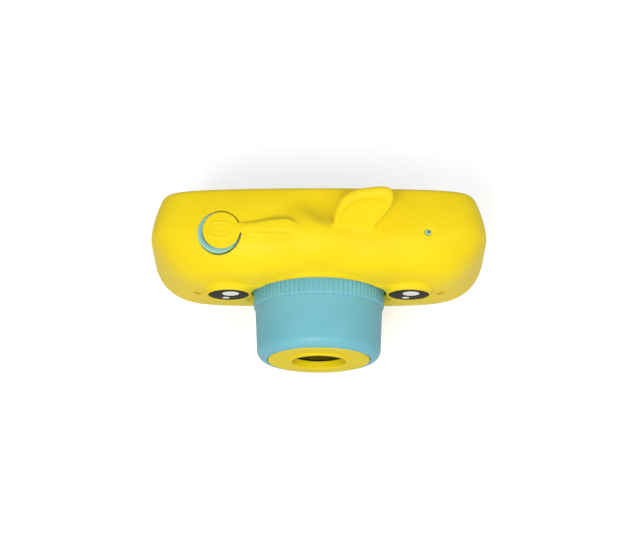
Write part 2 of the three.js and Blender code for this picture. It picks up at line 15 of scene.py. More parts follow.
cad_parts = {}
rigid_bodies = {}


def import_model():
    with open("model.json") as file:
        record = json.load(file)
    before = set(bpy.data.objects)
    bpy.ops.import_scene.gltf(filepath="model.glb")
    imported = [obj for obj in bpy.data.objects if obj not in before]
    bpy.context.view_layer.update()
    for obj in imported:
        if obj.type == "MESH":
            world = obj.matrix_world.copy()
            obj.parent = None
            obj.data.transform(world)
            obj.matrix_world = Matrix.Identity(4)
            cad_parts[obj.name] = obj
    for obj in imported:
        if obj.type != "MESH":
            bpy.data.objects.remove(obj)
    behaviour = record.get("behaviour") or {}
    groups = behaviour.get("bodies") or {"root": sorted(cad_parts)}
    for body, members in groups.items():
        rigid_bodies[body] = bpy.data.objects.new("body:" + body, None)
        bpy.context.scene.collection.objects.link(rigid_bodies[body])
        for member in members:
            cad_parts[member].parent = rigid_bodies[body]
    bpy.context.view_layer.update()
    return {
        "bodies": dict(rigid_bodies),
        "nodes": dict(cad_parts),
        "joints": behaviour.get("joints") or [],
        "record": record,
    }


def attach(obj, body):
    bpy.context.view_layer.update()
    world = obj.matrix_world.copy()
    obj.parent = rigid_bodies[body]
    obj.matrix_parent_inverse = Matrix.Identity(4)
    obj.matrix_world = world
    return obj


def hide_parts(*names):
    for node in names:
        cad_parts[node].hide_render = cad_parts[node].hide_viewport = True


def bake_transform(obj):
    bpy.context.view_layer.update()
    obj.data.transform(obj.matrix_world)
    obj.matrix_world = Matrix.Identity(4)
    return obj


MM = 0.001

# ---- main dimensions

# The outside of the cover: its sides, top and bottom at the front, at the back and where it is fullest.
COVER = dict(
    front=-16, back=11,
    wide_y=-1, half_width=50, front_half_width=35, back_half_width=46.2,
    ridge_y=-3.6, top=62, front_top=48, back_top=59.2,
    base_y=-5, bottom=-1.2, front_bottom=29, back_bottom=1.5,
    front_round=3.2, back_round=1.6,
)
SIDE_POWER = 1.5                 # how full the shoulders are between the sides and the flat front
TOP_POWER = 2
BASE_POWER = 1.5
SIDE_BACK_POWER = 1.6            # how late the body narrows towards the back
TOP_BACK_POWER = 2
BASE_BACK_POWER = 4
FRONT_SECTION_POWER = 4.9        # sections are superellipses, rounder at the front than at the back
BACK_SECTION_POWER = 9
CROWN = 0.12                     # share of its height that the top has fallen by at the sides
COVER_WALL = 2.6
COVER_LIP = 1.6
BASE_WALL = 3.8

FOREHEAD = dict(centre=(-1.2, -3.6, 57.6), radii=(11, 7.5, 6.6))
FOREHEAD_DIP = dict(centre=(1.4, 6.2, 66.8), radii=(9.2, 7.3, 7))

LENS_Z = 33
BARREL_HOLE_R = 19.9
BARREL_SEAT_R = 22
RING_R = 19.55
RIBS = 80
RIB_DEPTH = 0.22

EYE_X = 26.75
EYE_Z = 42
EYE_R = 6
EYE_DOME_R = 5.7
EYE_RIM_Y = -17.25
EYE_RISE = 0.12
EYE_BOSS_R = 6.6
EYE_POCKET_R = 6.15
CHEEK_SHADE_PATCH = (36.3, 36.2)        # x and z

SHUTTER_HOLE = (-29.05, -3, 6.4)  # x, y and radius
SHUTTER_CENTRE = (-29.35, -2.7)
COLLAR_TOP = 59
FLAP_CENTRE = (-28.55, -2.75)
FLAP_R = 5.5
FLAP_BOTTOM = 60.3
FLAP_TOP = 61.4
NECK_Y = -2
MIC = (32, -3, 1.0)              # x, y and radius

REAR_OPENING = dict(half_width=40, bottom=8, top=53.5, corner=8)
LANYARD_OPENING = dict(y=(3.6, 8.4), z=(13.8, 22.2))
PORT_OPENING = (3.5, 29.5, -3.6, 2.8)  # its limits in x, then in y
SPEAKER_HOLES = [(x, -3.4) for x in (-26, -23, -20, -17, -14)]
SPEAKER_HOLE_R = 0.75

# ---- distance fields

def smooth_union(a, b, fillet):
    """Two fields joined, with a fillet of about this size where they meet."""
    mix = np.clip(0.5 + 0.5 * (b - a) / fillet, 0, 1)
    return b + (a - b) * mix - fillet * mix * (1 - mix)


def smooth_cut(a, tool, rounding):
    """Field a with the tool cut away and the new edge rounded."""
    return -smooth_union(-a, tool, rounding)


def smooth_meet(a, b, rounding):
    """What two fields share, with its edge rounded."""
    return -smooth_union(-a, -b, rounding)


def shoulder(t, power):
    """1 where a rounded shoulder starts, falling almost to 0 where it meets the flat front."""
    return (1 - np.clip(t, 0, 0.985) ** power) ** (1 / power)


def section(body, y):
    """Half-width, middle height and half-height of a body's section at depth y."""
    def size(fullest, start, front_power, back_power):
        """A size that is fullest at its start and draws in to the front and to the back."""
        full, front, back = body[fullest], body["front_" + fullest], body["back_" + fullest]
        ahead = (body[start] - y) / (body[start] - body["front"])
        behind = np.clip((y - body[start]) / (body["back"] - body[start]), 0, 1)
        drawn_in = full - (full - front) * (1 - shoulder(ahead, front_power))
        return drawn_in - (full - back) * behind ** back_power

    half_width = size("half_width", "wide_y", SIDE_POWER, SIDE_BACK_POWER)
    top = size("top", "ridge_y", TOP_POWER, TOP_BACK_POWER)
    bottom = size("bottom", "base_y", BASE_POWER, BASE_BACK_POWER)
    return half_width, (top + bottom) / 2, (top - bottom) / 2


def body_field(body, x, y, z):
    """About the distance to a rounded body's surface, negative inside it."""
    depth = np.clip((y - COVER["front"]) / (COVER["back"] - COVER["front"]), 0, 1)
    power = FRONT_SECTION_POWER + (BACK_SECTION_POWER - FRONT_SECTION_POWER) * depth ** 2
    width, middle, height = section(body, y)
    step = 0.02
    width_slope, middle_slope, height_slope = (
        (further - here) / step for further, here in zip(section(body, y + step), (width, middle, height))
    )
    side = np.abs(x) / width
    crown = np.where(z > middle, CROWN, 0)
    arch = 1 - crown * np.minimum(side, 1.3) ** 2
    rise = (z - middle) / (height * arch)
    size = np.maximum((side ** power + np.abs(rise) ** power) ** (1 / power), 0.05)
    pull_x = (side / size) ** (power - 1)
    pull_z = (np.abs(rise) / size) ** (power - 1)
    along_y = pull_x * side * width_slope / width
    along_y = along_y + pull_z * (np.sign(rise) * middle_slope + np.abs(rise) * height_slope) / height
    along_x = (pull_x + pull_z * np.abs(rise) * 2 * crown * side / arch) / width
    sides = (size - 1) / np.sqrt(along_x ** 2 + (pull_z / (height * arch)) ** 2 + along_y ** 2)
    field = smooth_meet(sides, body["front"] - y, body["front_round"])
    return smooth_meet(field, y - body["back"], body["back_round"])


def inset(body, wall, back_wall, base_wall):
    """The same body moved in by a wall, with other thicknesses behind and underneath."""
    inner = dict(body)
    inner["front"] += wall
    inner["back"] -= back_wall
    for size in ("half_width", "back_half_width", "top", "back_top"):
        inner[size] -= wall
    inner["front_half_width"] -= wall / 2
    inner["front_top"] -= wall / 2
    inner["bottom"] += base_wall
    inner["back_bottom"] += base_wall - 0.7
    inner["front_bottom"] += wall / 2
    inner["back_round"] = 1.4
    return inner


def ball_field(centre, radii, x, y, z):
    """About the distance to an ellipsoid."""
    parts = [((v - c) / r, r) for v, c, r in zip((x, y, z), centre, radii)]
    size = np.sqrt(sum(p ** 2 for p, _ in parts))
    steep = np.sqrt(sum((p / r) ** 2 for p, r in parts))
    return size * (size - 1) / np.maximum(steep, 1e-6)


def block_field(low, high, corner, x, y, z):
    """Distance to a box with rounded edges. An open side is given as an infinite limit."""
    out = [np.maximum(lo - v, v - hi) + corner for lo, hi, v in zip(low, high, (x, y, z))]
    outside = np.sqrt(sum(np.maximum(q, 0) ** 2 for q in out))
    return outside + np.minimum(np.maximum(np.maximum(out[0], out[1]), out[2]), 0) - corner


def polygon_field(corners, u, v):
    """Distance from points to a closed outline, negative inside it."""
    nearest = np.full(np.shape(u), np.inf)
    inside = np.zeros(np.shape(u), bool)
    for (au, av), (bu, bv) in zip(corners, np.roll(corners, -1, axis=0)):
        du, dv = bu - au, bv - av
        t = np.clip(((u - au) * du + (v - av) * dv) / (du * du + dv * dv), 0, 1)
        nearest = np.minimum(nearest, (u - au - t * du) ** 2 + (v - av - t * dv) ** 2)
        inside ^= ((av > v) != (bv > v)) & (u < au + du * (v - av) / (dv or 1))
    return np.where(inside, -1, 1) * np.sqrt(nearest)


def bezier(*points, steps=12):
    """Points along a cubic curve, without its last one."""
    a, b, c, d = (np.array(p, float) for p in points)
    t = (np.arange(steps) / steps)[:, None]
    return (1 - t) ** 3 * a + 3 * t * (1 - t) ** 2 * b + 3 * t * t * (1 - t) * c + t ** 3 * d


def near(low, high, field, x, y, z):
    """A costly field, worked out only inside a box. Everything else counts as far away."""
    inside = (x > low[0]) & (x < high[0]) & (y > low[1]) & (y < high[1]) & (z > low[2]) & (z < high[2])
    values = np.full(inside.shape, 9.0)
    values[inside] = field(*(np.broadcast_to(v, inside.shape)[inside] for v in (x, y, z)))
    return values


# ---- meshes from fields

def grid_lines(low, high, step):
    return np.linspace(low, high, int(round((high - low) / step)) + 1)


def crossings_mesh(values, axes):
    """The zero surface of a sampled field as quads: one point in each grid cell that it passes through."""
    shape = values.shape
    points, cells, quads = [], [], []
    for axis in range(3):
        first, second = np.eye(3, dtype=int)[[(axis + 1) % 3, (axis + 2) % 3]]
        before = values[tuple(slice(None, -1) if a == axis else slice(None) for a in range(3))]
        after = values[tuple(slice(1, None) if a == axis else slice(None) for a in range(3))]
        edges = np.argwhere((before < 0) != (after < 0))
        start, end = before[tuple(edges.T)], after[tuple(edges.T)]
        place = np.stack([axes[a][edges[:, a]] for a in range(3)], axis=1)
        stride = axes[axis][edges[:, axis] + 1] - axes[axis][edges[:, axis]]
        place[:, axis] += stride * start / (start - end)
        around = [np.ravel_multi_index((edges - shift).T, shape)
                  for shift in (0 * first, first, first + second, second)]
        points += [place] * 4
        cells += around
        quad = np.stack(around, axis=1)
        quads.append(np.where((start < 0)[:, None], quad, quad[:, ::-1]))
    used, index = np.unique(np.concatenate(cells), return_inverse=True)
    points = np.concatenate(points)
    count = np.bincount(index)
    mean = np.stack([np.bincount(index, points[:, a]) / count for a in range(3)], axis=1)
    return mean, np.searchsorted(used, np.concatenate(quads))


def settle(points, field, steps):
    """Moves points onto a field's zero surface."""
    h = 0.02
    for _ in range(steps):
        x, y, z = points.T
        here = field(x, y, z)
        slope = np.stack([
            field(x + h, y, z) - field(x - h, y, z),
            field(x, y + h, z) - field(x, y - h, z),
            field(x, y, z + h) - field(x, y, z - h),
        ], axis=1) / (2 * h)
        move = here[:, None] * slope / np.maximum((slope ** 2).sum(axis=1), 0.05)[:, None]
        length = np.sqrt((move ** 2).sum(axis=1))[:, None]
        points = points - move * np.minimum(1, 0.3 / np.maximum(length, 1e-9))
    return points


def relax(points, quads):
    """Moves each point half-way to the middle of its neighbours."""
    ends = np.concatenate([quads[:, [a, (a + 1) % 4]] for a in range(4)])
    count = np.bincount(ends[:, 0], minlength=len(points))
    middle = np.stack([
        np.bincount(ends[:, 0], points[ends[:, 1], a], minlength=len(points)) / count for a in range(3)
    ], axis=1)
    return (points + middle) / 2


def soft_piece(name, field, low, high, step):
    """A smooth closed mesh of a field."""
    axes = [grid_lines(a, b, step) for a, b in zip(low, high)]
    values = field(axes[0][:, None, None], axes[1][None, :, None], axes[2][None, None, :])
    points, quads = crossings_mesh(values, axes)
    points = settle(points, field, 2)
    points = settle(relax(points, quads), field, 2)
    return mesh_piece(name, points, quads)


def add(name, data):
    """A new object in the scene."""
    made = bpy.data.objects.new(name, data)
    bpy.context.scene.collection.objects.link(made)
    return made


def mesh_piece(name, points, faces):
    mesh = bpy.data.meshes.new(name)
    mesh.from_pydata((np.asarray(points) * MM).tolist(), [], np.asarray(faces).tolist())
    mesh.validate()
    mesh.shade_smooth()
    return add(name, mesh)


# ---- silicone cover

EAR_ROOT = (9.6, -3.4, 60.8)
EAR_LEAN = math.radians(46)
EAR_THICKNESS = 3.2
EAR_OUTLINE = np.concatenate([
    bezier((-5.6, -3.5), (-5.7, 6.5), (-6, 14), (5.2, 14.8)),
    bezier((5.2, 14.8), (9, 15.3), (12.9, 15.7), (12.4, 11)),
    bezier((12.4, 11), (12.2, 8.6), (8.6, 4.2), (3.0, -3.5)),
])
EAR_PANEL = np.concatenate([
    bezier((-3.2, 0), (-3.2, 6), (-1.6, 10.4), (4, 10.8)),
    bezier((4, 10.8), (7.4, 11.1), (9.8, 11.2), (9.4, 9.2)),
    bezier((9.4, 9.2), (8.8, 6), (6.2, 3), (3.4, 0)),
])
LYING_EAR = np.concatenate([
    bezier((-22.4, 58.5), (-22.4, 59.5), (-22.4, 60.5), (-22.4, 62.1), steps=3),
    bezier((-22.4, 62.1), (-19, 62.5), (-15.5, 64.7), (-11, 64.8)),
    bezier((-11, 64.8), (-8, 64.9), (-5, 64.4), (-3.8, 61.5)),
    bezier((-3.8, 61.5), (-3.8, 60.5), (-3.8, 59.5), (-3.8, 58.5), steps=3),
])


def standing_ear(x, y, z):
    """A leaf that leans back, with a shallow soft-edged panel in the side that faces forward and up."""
    lean_sin, lean_cos = math.sin(EAR_LEAN), math.cos(EAR_LEAN)
    u = x - EAR_ROOT[0]
    v = (y - EAR_ROOT[1]) * lean_sin + (z - EAR_ROOT[2]) * lean_cos
    w = (z - EAR_ROOT[2]) * lean_sin - (y - EAR_ROOT[1]) * lean_cos
    slab = np.abs(w) - EAR_THICKNESS / 2
    leaf = smooth_meet(polygon_field(EAR_OUTLINE, u, v), slab, 2.4)
    panel = smooth_meet(polygon_field(EAR_PANEL, u, v), EAR_THICKNESS / 2 - 0.6 - w, 0.8)
    return smooth_cut(leaf, panel, 2.2)


def lying_ear(x, y, z):
    """A low ridge that widens from the shutter flap's neck to its middle."""
    widening = np.clip((x + 22) / 12, 0, 1)
    tip = np.clip((x + 9) / 4, 0, 1)
    half_width = 1.5 + 0.7 * widening * widening * (3 - 2 * widening) - 1.1 * tip ** 2
    middle = NECK_Y - 0.2 * widening - 0.8 * tip
    return smooth_meet(polygon_field(LYING_EAR, x, z), np.abs(y - middle) - half_width, 1.3)


def eye_boss(centre_x, x, y, z):
    """A short round boss, and the pocket in it for the eye."""
    around = np.sqrt((x - centre_x) ** 2 + (z - EYE_Z) ** 2)
    boss = smooth_meet(around - EYE_BOSS_R - 0.08 * (y + 17.2), -17.1 - y, 0.5)
    boss = np.maximum(boss, y + 11)
    pocket = np.maximum(around - EYE_POCKET_R, y + 16.3)
    return boss, pocket


def upright_hole(centre, radius, x, y):
    """Distance to an endless round hole along Z."""
    return np.sqrt((x - centre[0]) ** 2 + (y - centre[1]) ** 2) - radius


def from_lens_axis(x, z):
    return np.sqrt(x ** 2 + (z - LENS_Z) ** 2)


def cover_body(x, y, z):
    """The cover's outside without its eyes: body, forehead, the dip behind it, ears and the barrel's seat."""
    field = body_field(COVER, x, y, z)
    field = smooth_union(field, ball_field(FOREHEAD["centre"], FOREHEAD["radii"], x, y, z), 4)
    skewed = y + 0.35 * (x - 1)
    field = smooth_cut(field, ball_field(FOREHEAD_DIP["centre"], FOREHEAD_DIP["radii"], x, skewed, z), 2.4)
    field = smooth_union(field, near((-2, -10, 54), (27, 14, 76), standing_ear, x, y, z), 0.9)
    field = smooth_union(field, near((-26, -9, 56), (0, 3, 69), lying_ear, x, y, z), 0.8)
    seat = smooth_meet(from_lens_axis(x, z) - BARREL_SEAT_R, np.abs(y + 11.4) - 3.6, 1)
    return smooth_union(field, seat, 1.4)


def cover_openings(field, x, y, z):
    """The cover with everything that opens it towards the shells: barrel, back, shutter, ports and holes."""
    below_top = np.clip(1.2 - (z - LENS_Z) / 17, 0, 1)
    flare = 1.5 * np.clip(-13.9 - y, 0, 1) * below_top
    barrel_hole = np.maximum(from_lens_axis(x, z) - BARREL_HOLE_R - flare, y + 8)
    field = smooth_cut(field, barrel_hole, 1.5)
    opening = REAR_OPENING
    low = (-opening["half_width"], -np.inf, opening["bottom"])
    high = (opening["half_width"], np.inf, opening["top"])
    rear = block_field(low, high, opening["corner"], x, 0 * y, z)
    field = smooth_cut(field, np.maximum(rear, 5 - y), 1.2)
    shutter_hole = np.maximum(upright_hole(SHUTTER_HOLE, SHUTTER_HOLE[2], x, y), 50 - z)
    field = smooth_cut(field, shutter_hole, 0.4)
    x0, x1, y0, y1 = PORT_OPENING
    field = smooth_cut(field, block_field((x0, y0, -9), (x1, y1, 9), 0.8, x, y, z), 0.5)
    (y0, y1), (z0, z1) = LANYARD_OPENING["y"], LANYARD_OPENING["z"]
    field = smooth_cut(field, block_field((-60, y0, z0), (-40, y1, z1), 1.2, x, y, z), 0.8)
    for centre in SPEAKER_HOLES:
        field = smooth_cut(field, np.maximum(upright_hole(centre, SPEAKER_HOLE_R, x, y), z - 9), 0.4)
    return smooth_cut(field, np.maximum(upright_hole(MIC, MIC[2], x, y), 50 - z), 0.2)


def cover_field(x, y, z):
    """The whole cover: its outside with the eyes, hollowed out, and then opened."""
    field = cover_body(x, y, z)
    pockets = []
    for side in (-1, 1):
        boss, pocket = eye_boss(side * EYE_X, x, y, z)
        field = smooth_union(field, boss, 1.3)
        pockets.append(pocket)
    field = smooth_meet(field, -z, 1.0)
    field = smooth_cut(field, body_field(inset(COVER, COVER_WALL, COVER_LIP, BASE_WALL), x, y, z), 0.5)
    for pocket in pockets:
        field = smooth_cut(field, pocket, 0.3)
    return cover_openings(field, x, y, z)


def silicone_cover(step):
    return soft_piece("silicone_cover_soft", cover_field, (-51, -18.6, -0.7), (51, 12, 74), step)


# ---- other soft pieces

def flap_field(x, y, z):
    """The shutter flap: a domed disc with a raised camera sign, and the neck to the lying ear."""
    u, v = x - FLAP_CENTRE[0], y - FLAP_CENTRE[1]
    around = np.sqrt(u ** 2 + v ** 2)
    dome = 0.3 * (1 - np.clip(around / FLAP_R, 0, 1) ** 2)
    frame = np.abs(block_field((-2.9, -2.3, -9), (2.9, 2.3, 9), 1.1, u, v, 0 * z)) - 0.22
    ring = np.abs(around - 1.15) - 0.2
    raised = 0.16 * (0.5 - 0.5 * np.tanh(np.minimum(frame, ring) / 0.09))
    top = z - FLAP_TOP - dome - raised
    disc = smooth_meet(around - FLAP_R, np.maximum(top, FLAP_BOTTOM - z), 0.4)
    climb = 0.4 * np.clip((x + 24) / 1.6, 0, 1)
    low, high = (-24.3, NECK_Y - 1.4, FLAP_BOTTOM - 0.1), (-20.5, NECK_Y + 1.4, FLAP_TOP + 0.1)
    neck = block_field(low, high, 0.5, x, y, z - climb)
    return smooth_union(disc, neck, 0.5)


def port_cover_field(x, y, z):
    """The port plug: a thin lid with a finger scoop, and a block that fills the socket."""
    lid = block_field((3.75, -3.15, 0.35), (29.25, 2.55, 1.9), 0.6, x, y, z)
    scoop = ball_field((16.5, -3.6, 0.1), (4, 1.3, 0.7), x, y, z)
    lid = smooth_cut(lid, scoop, 0.4)
    plug = block_field((6.7, -1.3, 1), (12.9, 0.35, 3.4), 0.4, x, y, z)
    return smooth_union(lid, plug, 0.3)


def screw_field(length, x, y, z):
    """A cross-head screw along -Y with the top of its head at the origin."""
    around = np.sqrt(x ** 2 + z ** 2)
    head = smooth_meet(around - 1.9, np.maximum(y, -1.1 - y), 0.5)
    shank = np.maximum(around - 0.95, np.maximum(y + 0.9, -1.1 - length - y))
    arm = np.maximum(np.minimum(np.maximum(np.abs(x) - 1.15, np.abs(z) - 0.22),
                                np.maximum(np.abs(z) - 1.15, np.abs(x) - 0.22)), -0.6 - y)
    return smooth_cut(np.minimum(head, shank), arm, 0.12)


def rear_tray_field(x, y, z):
    """The rear shell's side wall with the strap's pin pocket. Its back is a separate plate."""
    body = inset(COVER, COVER_WALL + 0.2, COVER_LIP + 0.2, BASE_WALL + 0.2)
    hollow = inset(COVER, COVER_WALL + 2, COVER_LIP + 2, BASE_WALL + 2)
    outside = body_field(body, x, y, z)
    wall = smooth_cut(outside, body_field(hollow, x, y, z), 0.4)
    strap_block = np.maximum(block_field((-52, 2, 12), (-39.2, 12, 24), 0.5, x, y, z), outside)
    tray = np.minimum(wall, strap_block)
    tray = smooth_cut(tray, block_field((-60, 4, 14.5), (-40.7, 8, 21.5), 0.4, x, y, z), 0.3)
    return smooth_meet(tray, np.maximum(3.05 - y, y - 8.2), 0.3)


# ---- turned pieces and plates

def filleted(corners):
    """A profile with its corners rounded. Each corner is (radius, position, fillet)."""
    count = len(corners)
    places = []
    for i, (r, p, fillet) in enumerate(corners):
        here = np.array((r, p), float)
        if fillet == 0:
            places.append(here)
            continue
        before = np.array(corners[i - 1][:2], float) - here
        after = np.array(corners[(i + 1) % count][:2], float) - here
        before /= np.linalg.norm(before)
        after /= np.linalg.norm(after)
        half = math.acos(np.clip(before @ after, -1, 1)) / 2
        reach = fillet / math.tan(half)
        start, end = here + before * reach, here + after * reach
        middle = here + (before + after) / np.linalg.norm(before + after) * fillet / math.sin(half)
        steps = 4 + int(3 * fillet)
        for k in range(steps + 1):
            spoke = (start - middle) * (1 - k / steps) + (end - middle) * (k / steps)
            places.append(middle + spoke / np.linalg.norm(spoke) * fillet)
    return np.array(places)


def full_turn(steps):
    return np.arange(steps) / steps * 2 * math.pi


def turned(name, corners, centre, axis="y", steps=192, ripple=None):
    """A piece turned about an axis along Y or Z. ripple(angle, radius) takes a little off the radius."""
    profile = filleted(corners)
    angle = full_turn(steps)
    radius = np.repeat(profile[:, :1], steps, axis=1)
    along = np.repeat(profile[:, 1:], steps, axis=1)
    if ripple:
        radius = radius - ripple(angle[None, :], radius)
    across, other = radius * np.cos(angle), radius * np.sin(angle)
    if axis == "y":
        points = np.stack([across + centre[0], along, other + centre[2]], axis=-1)
    else:
        points = np.stack([across + centre[0], other + centre[1], along], axis=-1)
    rows, row = len(profile), np.arange(len(profile))
    open_ended = profile[0, 0] == 0 and profile[-1, 0] == 0
    row = row[:-1] if open_ended else row
    a = row[:, None] * steps + np.arange(steps)
    b = row[:, None] * steps + (np.arange(steps) + 1) % steps
    up = (row[:, None] + 1) % rows * steps - row[:, None] * steps
    quads = np.stack([a, b, b + up, a + up], axis=-1).reshape(-1, 4)
    piece = mesh_piece(name, points.reshape(-1, 3), quads)
    tidy(piece)
    return piece


def tidy(piece):
    """Welds the points that meet on an axis, makes the faces look outwards and keeps true edges crisp."""
    work = bmesh.new()
    work.from_mesh(piece.data)
    bmesh.ops.remove_doubles(work, verts=work.verts, dist=1e-6)
    bmesh.ops.recalc_face_normals(work, faces=work.faces)
    work.to_mesh(piece.data)
    work.free()
    piece.data.shade_smooth()
    piece.data.set_sharp_from_angle(angle=math.radians(35))
    piece.modifiers.new("even_shading", "WEIGHTED_NORMAL").keep_sharp = True


def circle(x, z, radius, steps=64):
    angle = full_turn(steps)
    return np.stack([x + radius * np.cos(angle), z + radius * np.sin(angle)], axis=1)


def rounded_rectangle(x0, x1, z0, z1, corner, steps=8):
    quarter = np.linspace(0, math.pi / 2, steps + 1)
    corners = [(x1 - corner, z1 - corner), (x0 + corner, z1 - corner),
               (x0 + corner, z0 + corner), (x1 - corner, z0 + corner)]
    arcs = []
    for turn, (x, z) in enumerate(corners):
        angle = quarter + turn * math.pi / 2
        arcs.append(np.stack([x + corner * np.cos(angle), z + corner * np.sin(angle)], axis=1))
    return np.concatenate(arcs)


def rounded_polygon(corners, fillet):
    return filleted([(u, v, fillet) for u, v in corners])


def plate(name, outlines, y0, y1, bevel):
    """A flat plate across Y with bevelled edges. The first outline is its edge, the others are holes."""
    curve = bpy.data.curves.new(name, "CURVE")
    curve.dimensions = "2D"
    curve.fill_mode = "BOTH"
    curve.extrude = ((y1 - y0) / 2 - bevel) * MM
    curve.bevel_depth = bevel * MM
    curve.bevel_resolution = 2
    curve.offset = -bevel * MM
    for outline in outlines:
        spline = curve.splines.new("POLY")
        spline.points.add(len(outline) - 1)
        for point, (x, z) in zip(spline.points, outline):
            point.co = (x * MM, z * MM, 0, 1)
        spline.use_cyclic_u = True
    source = add(name + "_outline", curve)
    flat = bpy.data.meshes.new_from_object(source.evaluated_get(bpy.context.evaluated_depsgraph_get()))
    bpy.data.objects.remove(source)
    flat.transform(Matrix.Translation((0, (y0 + y1) / 2 * MM, 0)) @ Matrix.Rotation(math.pi / 2, 4, "X"))
    piece = add(name, flat)
    tidy(piece)
    return piece


def dome(radius, edge, rise, steps=10):
    """Profile points of a shallow dome that faces -Y, from its crown to its rim."""
    ball = (radius ** 2 + rise ** 2) / (2 * rise)
    across = np.linspace(0, radius, steps)
    return [(r, edge - rise + ball - math.sqrt(ball ** 2 - r ** 2), 0) for r in across]


# ---- materials

def linear(red, green, blue):
    """A display colour, 0 to 255, as scene-linear values."""
    shares = [c / 255 for c in (red, green, blue)]
    return tuple(c / 12.92 if c < 0.04045 else ((c + 0.055) / 1.055) ** 2.4 for c in shares) + (1,)


class Look:
    """A node material built up in layers. Sizes are in millimetres, display colours from 0 to 255."""

    def __init__(self, name, roughness, **settings):
        self.material = bpy.data.materials.new(name)
        self.material.use_nodes = True
        self.tree = self.material.node_tree
        self.shader = self.tree.nodes["Principled BSDF"]
        self.shader.inputs["Roughness"].default_value = roughness
        for key, value in settings.items():
            self.shader.inputs[key.replace("_", " ").title().replace("Ior", "IOR")].default_value = value
        self.place = self.node("ShaderNodeTexCoord").outputs["Object"]

    def node(self, kind, inputs=None, **settings):
        made = self.tree.nodes.new(kind)
        for key, value in settings.items():
            setattr(made, key, value)
        for key, value in (inputs or {}).items():
            made.inputs[key].default_value = value
        return made

    def link(self, source, target):
        self.tree.links.new(source, target)

    def noise(self, size, detail=3.0, stretch=(1, 1, 1)):
        """Noise from 0 to 1 whose patches are about this size."""
        mapping = self.node("ShaderNodeMapping", {"Scale": stretch})
        self.link(self.place, mapping.inputs["Vector"])
        noise = self.node("ShaderNodeTexNoise", {"Scale": 1 / (size * MM), "Detail": detail})
        self.link(mapping.outputs["Vector"], noise.inputs["Vector"])
        return noise.outputs["Fac"]

    def cells(self, size, feature="F1"):
        cells = self.node("ShaderNodeTexVoronoi", {"Scale": 1 / (size * MM)}, feature=feature)
        self.link(self.place, cells.inputs["Vector"])
        return cells.outputs["Distance"]

    def ramp(self, value, *stops):
        """Display colours or plain numbers along an input, as (position, colour) pairs."""
        ramp = self.node("ShaderNodeValToRGB")
        stops = [(p, (c, c, c, 1) if isinstance(c, (int, float)) else linear(*c)) for p, c in stops]
        elements = ramp.color_ramp.elements
        for element, (position, colour) in zip(elements, (stops[0], stops[-1])):
            element.position = position
            element.color = colour
        for position, colour in stops[1:-1]:
            elements.new(position).color = colour
        self.link(value, ramp.inputs["Fac"])
        return ramp.outputs["Color"]

    def mix(self, share, first, second):
        """One colour over another. Each is an output or a display colour."""
        mix = self.node("ShaderNodeMix", data_type="RGBA")
        for value, socket in ((share, "Factor"), (first, "A"), (second, "B")):
            sockets = [s for s in mix.inputs if s.name == socket and s.enabled]
            if isinstance(value, bpy.types.NodeSocket):
                self.link(value, sockets[-1])
            else:
                sockets[-1].default_value = linear(*value)
        return next(s for s in mix.outputs if s.enabled)

    def clouded(self, size, detail, deep, pale):
        """Two close colours that drift into each other in patches of about this size."""
        return self.mix(self.ramp(self.noise(size, detail), (0.35, 0), (0.65, 1)), deep, pale)

    def colour(self, output):
        self.link(output, self.shader.inputs["Base Color"])

    def roughness(self, value, low, high):
        """Roughness that moves between two values with an input."""
        spread = self.node("ShaderNodeMapRange", {"To Min": low, "To Max": high})
        self.link(value, spread.inputs["Value"])
        self.link(spread.outputs["Result"], self.shader.inputs["Roughness"])

    def bump(self, *layers):
        """Relief from (height output, depth in millimetres) layers, coarse first."""
        normal = None
        for height, depth in layers:
            bump = self.node("ShaderNodeBump", {"Strength": 1, "Distance": depth * MM})
            self.link(height, bump.inputs["Height"])
            if normal:
                self.link(normal, bump.inputs["Normal"])
            normal = bump.outputs["Normal"]
        self.link(normal, self.shader.inputs["Normal"])

    def pale_edges(self, base, edge, amount):
        """The base colour, paler where an edge has been rubbed."""
        worn = self.ramp(self.node("ShaderNodeNewGeometry").outputs["Pointiness"], (0.5, 0), (0.58, amount))
        return self.mix(worn, base, edge)


def yellow_silicone():
    look = Look("yellow_silicone", 0.52, specular_ior_level=0.2, sheen_weight=0.05, sheen_roughness=0.4)
    look.shader.inputs["Subsurface Weight"].default_value = 0.12
    look.shader.inputs["Subsurface Radius"].default_value = (1.0, 0.7, 0.15)
    look.shader.inputs["Subsurface Scale"].default_value = 1.5 * MM
    base = look.clouded(14, 2, (240, 210, 8), (243, 216, 16))
    dust = look.noise(0.9, 4)
    base = look.mix(look.ramp(dust, (0.62, 0), (0.72, 0.25)), base, (248, 228, 60))
    look.colour(look.pale_edges(base, (250, 228, 60), 0.3))
    look.roughness(look.noise(3, 3), 0.44, 0.58)
    look.bump((look.noise(5, 2), 0.035), (look.noise(0.22, 2), 0.012))
    return look.material


def painted_dimple_shade():
    """Painted shade: a deeper yellow that stands in for the shade of a dimple at each cheek."""
    look = Look("painted_dimple_shade", 0.55, specular_ior_level=0.15)
    look.colour(look.clouded(0.6, 3, (186, 152, 4), (200, 166, 10)))
    look.roughness(look.noise(1, 3), 0.48, 0.62)
    look.bump((look.noise(0.5, 2), 0.012))
    return look.material


def blue_plastic():
    look = Look("blue_plastic", 0.42, specular_ior_level=0.45)
    base = look.clouded(10, 2, (106, 178, 194), (112, 184, 199))
    look.colour(look.pale_edges(base, (160, 214, 224), 0.4))
    look.roughness(look.noise(2, 3), 0.36, 0.5)
    look.bump((look.cells(0.28), 0.006), (look.noise(0.12, 2), 0.004))
    return look.material


